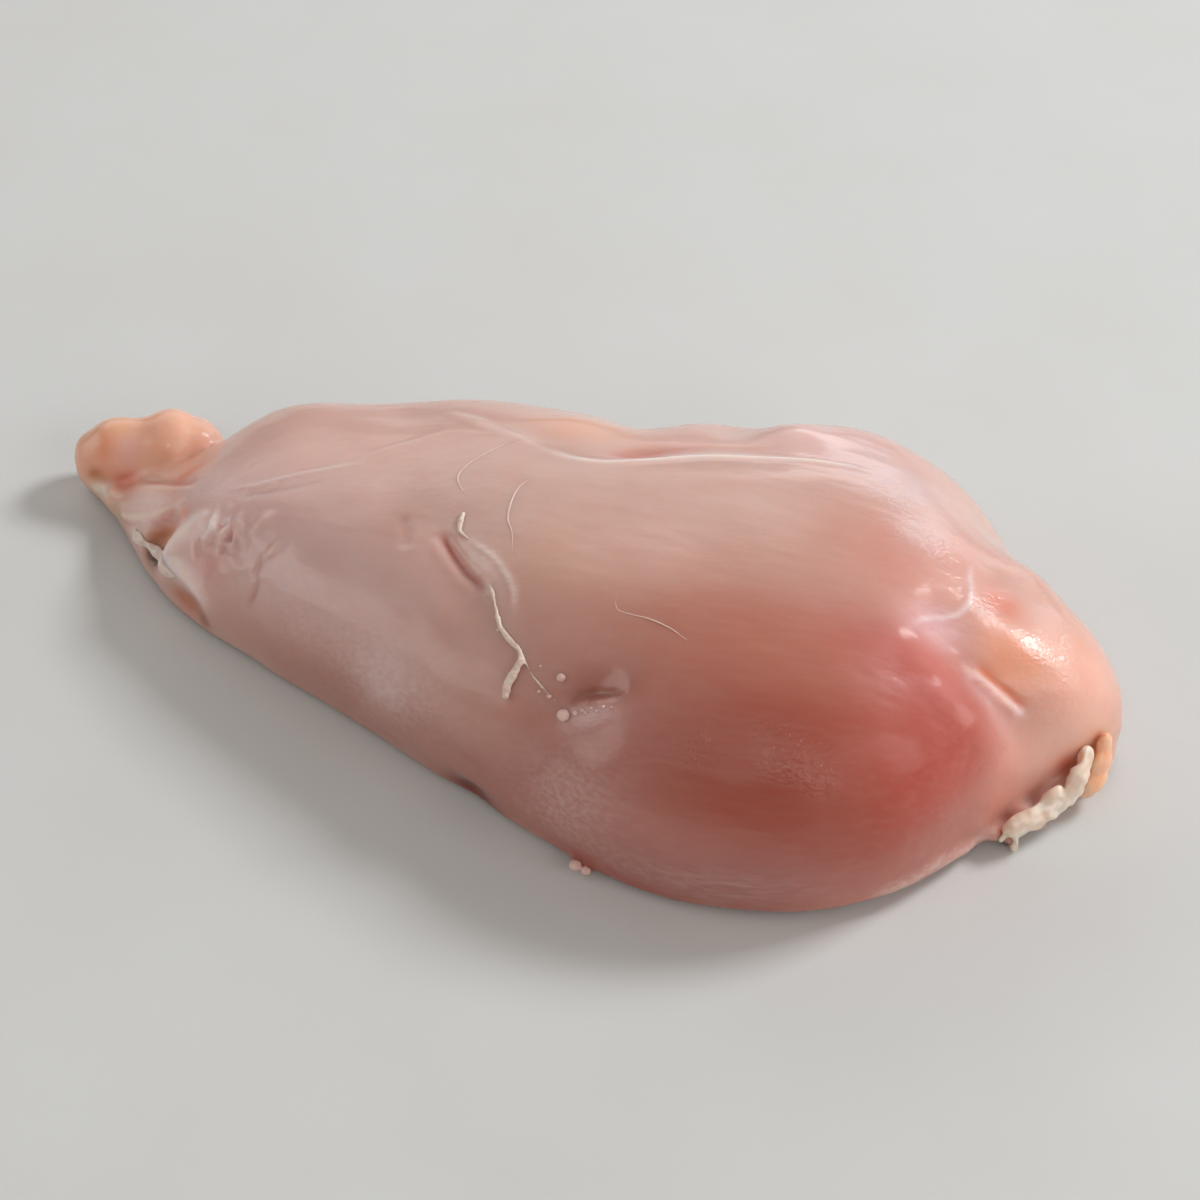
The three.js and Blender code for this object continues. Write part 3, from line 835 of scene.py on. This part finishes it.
def grains(skin, material):
    """Specks of fat about the pit and under the near edge: x, y, z and radius of each."""
    rows = [
        (17.3, -33.5, 28.8, 0.8), (19.7, -36.9, 24.4, 1.15), (14.4, -35.5, 26.4, 0.35),
        (16.2, -35.6, 26.2, 0.45), (13.4, -32.7, 29.1, 0.28), (4, -28.6, 29.9, 0.38),
        (25.6, -47, 2.6, 1.1), (27.6, -47.3, 2.2, 0.9), (21.6, -36.8, 25.6, 0.5),
        (22.7, -36.2, 26.1, 0.35), (23.6, -36.6, 26.2, 0.42), (24.7, -36, 26.9, 0.38),
        (25.6, -36.4, 27, 0.3), (26.6, -35.9, 27.7, 0.4), (27.8, -36, 28, 0.25),
    ]
    raised = 0.1
    flatness = 0.8
    balls = []
    for x, y, z, radius in rows:
        place, normal = skin.touch((x, y, z))
        centre = place + normal * radius * raised
        balls.append(ball(centre, (radius, radius, radius * flatness), turned(0)))
    moulded("grains", balls, 0.16, 3, material, [(0.06, 0.7, ROUND, 0)])


def tail_films(skin, material):
    """Loose strand of skin and fat along the near side of the tail."""
    strand = laid(
        skin,
        [(-75.2, -8.4, 6.6), (-73.4, -9.9, 7), (-71.2, -11.4, 7.4), (-68.8, -12.6, 7.6), (-66.4, -13.8, 8.2),
         (-64.8, -14.9, 8.8), (-63.6, -16.3, 8.6), (-61.4, -17.5, 9.4)],
        [0.5, 0.85, 0.6, 0.9, 0.7, 1, 1, 0.5], wide=1.4, flat=0.8, sunk=0.35,
    )
    moulded("tail_films", strand, 0.18, 3, material, [(0.45, 1.6, ROUND, 0)])


# ---------------------------------------------------------------- materials

def node(tree, kind, inputs=None, **settings):
    """A shader node. Inputs are values, or the sockets that feed them."""
    made = tree.nodes.new("ShaderNode" + kind)
    for key, value in settings.items():
        setattr(made, key, value)
    for key, value in (inputs or {}).items():
        if isinstance(value, bpy.types.NodeSocket):
            tree.links.new(value, made.inputs[key])
        else:
            made.inputs[key].default_value = value
    return made


def grain_noise(tree, size, stretch=ROUND, turn=0, detail=2):
    """Noise with grains of about size millimetres, drawn out along X, Y and Z by stretch."""
    place = node(tree, "TexCoord").outputs["Object"]
    scale = tuple(1 / (size * MM * s) for s in stretch)
    spun = node(tree, "Mapping", {"Vector": place, "Rotation": (0, 0, math.radians(turn))}).outputs[0]
    mapped = node(tree, "Mapping", {"Vector": spun, "Scale": scale}).outputs[0]
    return node(tree, "TexNoise", {"Vector": mapped, "Scale": 1, "Detail": detail}).outputs["Fac"]


def between(tree, value, low, high, start=0.0, end=1.0):
    """Value from low to high, spread from start to end."""
    inputs = {"Value": value, "From Min": low, "From Max": high, "To Min": start, "To Max": end}
    return node(tree, "MapRange", inputs).outputs[0]


def mixed(tree, factor, a, b, blend="MIX"):
    """Colour a, with b blended in by factor."""
    made = node(tree, "Mix", {0: factor, 6: a, 7: b}, data_type="RGBA", blend_type=blend)
    return made.outputs[2]


def times(tree, a, b):
    return node(tree, "Math", {0: a, 1: b}, operation="MULTIPLY").outputs[0]


def plus(tree, a, b):
    return node(tree, "Math", {0: a, 1: b}, operation="ADD").outputs[0]


def material_named(name):
    """A new material, its nodes and its shader."""
    material = bpy.data.materials.new(name)
    material.use_nodes = True
    return material, material.node_tree, material.node_tree.nodes["Principled BSDF"]


def set_inputs(shader, **values):
    """Sets constants on the shader's own sockets: coat_ior is its socket Coat IOR."""
    for key, value in values.items():
        shader.inputs[key.replace("_", " ").title().replace("Ior", "IOR")].default_value = value


def attribute(tree, name, output="Fac"):
    """What the points of the flesh hold under name."""
    return node(tree, "Attribute", attribute_name=name).outputs[output]


def flesh_colour(tree, mottle, fibres, threads, film, shine):
    """The tint, reddened in blotches, with pale fibres, threads of film, and pale specks painted where it
    glints, as painted highlights.
    """
    tint = attribute(tree, "tint", "Color")
    redder = mixed(tree, between(tree, mottle, 0.4, 0.75, 0, 0.4), tint, (0.9, 0.76, 0.73, 1), "MULTIPLY")
    streaked = mixed(tree, between(tree, fibres, 0.45, 0.75, 0, 0.04), redder, (0.9, 0.7, 0.64, 1))
    veil = times(tree, film, between(tree, threads, 0.35, 0.68, 0.12, 0.6))
    veiled = mixed(tree, veil, streaked, (0.9, 0.74, 0.73, 1))
    # Painted highlights: pale specks where the skin glints.
    specks = grain_noise(tree, 0.5)
    painted_glints = times(tree, between(tree, specks, 0.66, 0.74), between(tree, shine, 0.15, 0.9, 0, 0.35))
    return mixed(tree, painted_glints, veiled, (0.95, 0.75, 0.66, 1))


def flesh_relief(tree, fibres, threads, film, shine):
    """Height of the fibres, of the threads of film, and of ripples that are strongest where it glints."""
    wet = grain_noise(tree, 0.7, (1.5, 1, 1), turn=-30, detail=4)
    height = plus(tree, times(tree, fibres, 0.15), times(tree, wet, between(tree, shine, 0, 1, 0.15, 1.8)))
    return plus(tree, height, times(tree, threads, between(tree, film, 0, 1, 0, 0.9)))


def relief_normal(tree, height, strength, depth):
    """Normal of a fine relief that is depth millimetres deep."""
    return node(tree, "Bump", {"Height": height, "Strength": strength, "Distance": depth * MM}).outputs[0]


def flesh_material():
    """Wet flesh: light passes into it, and a thin coat lies over it where it isn't dull."""
    material, tree, shader = material_named("flesh")
    shine = attribute(tree, "shine")
    film = attribute(tree, "film")
    coat = attribute(tree, "coat")
    fibres = grain_noise(tree, 1.3, (9, 1, 1), turn=-14, detail=3)
    mottle = grain_noise(tree, 7, (1.6, 1, 1), detail=3)
    threads = grain_noise(tree, 0.5, (9, 1.6, 1.6), turn=-20, detail=3)
    colour = flesh_colour(tree, mottle, fibres, threads, film, shine)
    tree.links.new(colour, shader.inputs["Base Color"])
    rough = plus(tree, between(tree, mottle, 0.3, 0.7, 0.38, 0.5), between(tree, coat, 0, COAT, 0.2, 0))
    tree.links.new(rough, shader.inputs["Roughness"])
    set_inputs(
        shader, subsurface_weight=0.9, subsurface_radius=(1, 0.55, 0.34), subsurface_scale=4.5 * MM,
        coat_roughness=0.12, coat_ior=1.38,
    )
    tree.links.new(coat, shader.inputs["Coat Weight"])
    bump = relief_normal(tree, flesh_relief(tree, fibres, threads, film, shine), strength=1, depth=0.16)
    tree.links.new(bump, shader.inputs["Normal"])
    tree.links.new(bump, shader.inputs["Coat Normal"])
    return material


def soft_material(name, colour, deeper, grain=1.6, scatter=1.2, roughness=0.4, inside=0.8):
    """Fat, tendon or film: two colours in soft grains. Of the light, the share inside passes into it,
    about scatter millimetres deep."""
    material, tree, shader = material_named(name)
    blotches = grain_noise(tree, grain, detail=3)
    mix = mixed(tree, between(tree, blotches, 0.38, 0.66), (*colour, 1), (*deeper, 1))
    tree.links.new(mix, shader.inputs["Base Color"])
    set_inputs(
        shader, roughness=roughness, subsurface_weight=inside, subsurface_radius=(1, 0.6, 0.4),
        subsurface_scale=scatter * MM, coat_weight=0.5, coat_roughness=0.15, coat_ior=1.36,
    )
    bump = relief_normal(tree, grain_noise(tree, grain / 3), strength=0.7, depth=0.1)
    tree.links.new(bump, shader.inputs["Normal"])
    return material


def floor_material():
    """Plain pale floor, a little cloudy."""
    material, tree, shader = material_named("floor")
    cloudy = grain_noise(tree, 40, detail=3)
    mix = mixed(tree, between(tree, cloudy, 0.3, 0.7), (0.72, 0.725, 0.715, 1), (0.7, 0.7, 0.685, 1))
    tree.links.new(mix, shader.inputs["Base Color"])
    set_inputs(shader, roughness=0.75, specular_ior_level=0.3)
    bump = relief_normal(tree, grain_noise(tree, 0.8, detail=3), strength=0.25, depth=0.1)
    tree.links.new(bump, shader.inputs["Normal"])
    return material


# ---------------------------------------------------------------- stage, light and camera

def add_floor():
    mesh = bpy.data.meshes.new("floor")
    corners = [(x * FLOOR_HALF, y * FLOOR_HALF, 0) for x, y in ((-1, -1), (1, -1), (1, 1), (-1, 1))]
    mesh.from_pydata(corners, [], [(0, 1, 2, 3)])
    mesh.materials.append(floor_material())
    floor = bpy.data.objects.new("floor", mesh)
    bpy.context.scene.collection.objects.link(floor)


def towards(bearing, elevation):
    """Unit vector: bearing in degrees from +Y towards +X, and elevation above the table."""
    b, e = math.radians(bearing), math.radians(elevation)
    return Vector((math.sin(b) * math.cos(e), math.cos(b) * math.cos(e), math.sin(e)))


def add_light(name, bearing, elevation, width, height, power, colour):
    """A soft panel that faces the part from LIGHT_DISTANCE. Its size is in metres."""
    light = bpy.data.lights.new(name, "AREA")
    light.shape = "RECTANGLE"
    light.size = width
    light.size_y = height
    light.energy = power
    light.color = colour
    holder = bpy.data.objects.new(name, light)
    direction = towards(bearing, elevation)
    holder.location = Vector(CAMERA_TARGET) * MM + direction * LIGHT_DISTANCE
    holder.rotation_euler = direction.to_track_quat("Z", "Y").to_euler()
    bpy.context.scene.collection.objects.link(holder)


def add_lights():
    for light in LIGHTS:
        add_light(*light)
    world = bpy.data.worlds.new("room")
    world.use_nodes = True
    background = world.node_tree.nodes["Background"]
    background.inputs["Color"].default_value = ROOM_COLOUR
    background.inputs["Strength"].default_value = ROOM_STRENGTH
    bpy.context.scene.world = world
    bpy.context.scene.view_settings.view_transform = "Standard"


def add_camera():
    camera = bpy.data.cameras.new("camera")
    camera.lens = LENS
    camera.sensor_width = SENSOR
    holder = bpy.data.objects.new("camera", camera)
    back = towards(180 - CAMERA_AZIMUTH, CAMERA_ELEVATION)
    holder.location = (Vector(CAMERA_TARGET) + back * CAMERA_DISTANCE) * MM
    holder.rotation_euler = back.to_track_quat("Z", "Y").to_euler()
    bpy.context.scene.collection.objects.link(holder)
    bpy.context.scene.camera = holder


def add_trim(skin):
    """The small pieces on the flesh, each in its own soft material."""
    cream = soft_material("cream_fat", (0.9, 0.78, 0.67), (0.82, 0.63, 0.5), grain=2.6, scatter=1.6)
    orange = soft_material("orange_fat", (0.95, 0.54, 0.35), (0.92, 0.44, 0.25), grain=3, scatter=2)
    white = soft_material("tendon", (0.86, 0.7, 0.58), (0.76, 0.56, 0.46), grain=1, scatter=0.5, inside=0.2)
    film = soft_material("film", (0.88, 0.74, 0.66), (0.8, 0.6, 0.52), grain=2, scatter=1, inside=0.4)
    faint = soft_material("vein", (0.9, 0.66, 0.57), (0.84, 0.56, 0.48), grain=2, inside=0)
    bead = soft_material("bead", (0.82, 0.56, 0.49), (0.76, 0.48, 0.42), grain=1, roughness=0.25, inside=0)
    fat_fringe(cream)
    orange_fat(orange)
    tendon(skin, white)
    veins(skin, faint)
    grains(skin, bead)
    tail_films(skin, film)


add_camera()
add_trim(flesh())
add_floor()
add_lights()
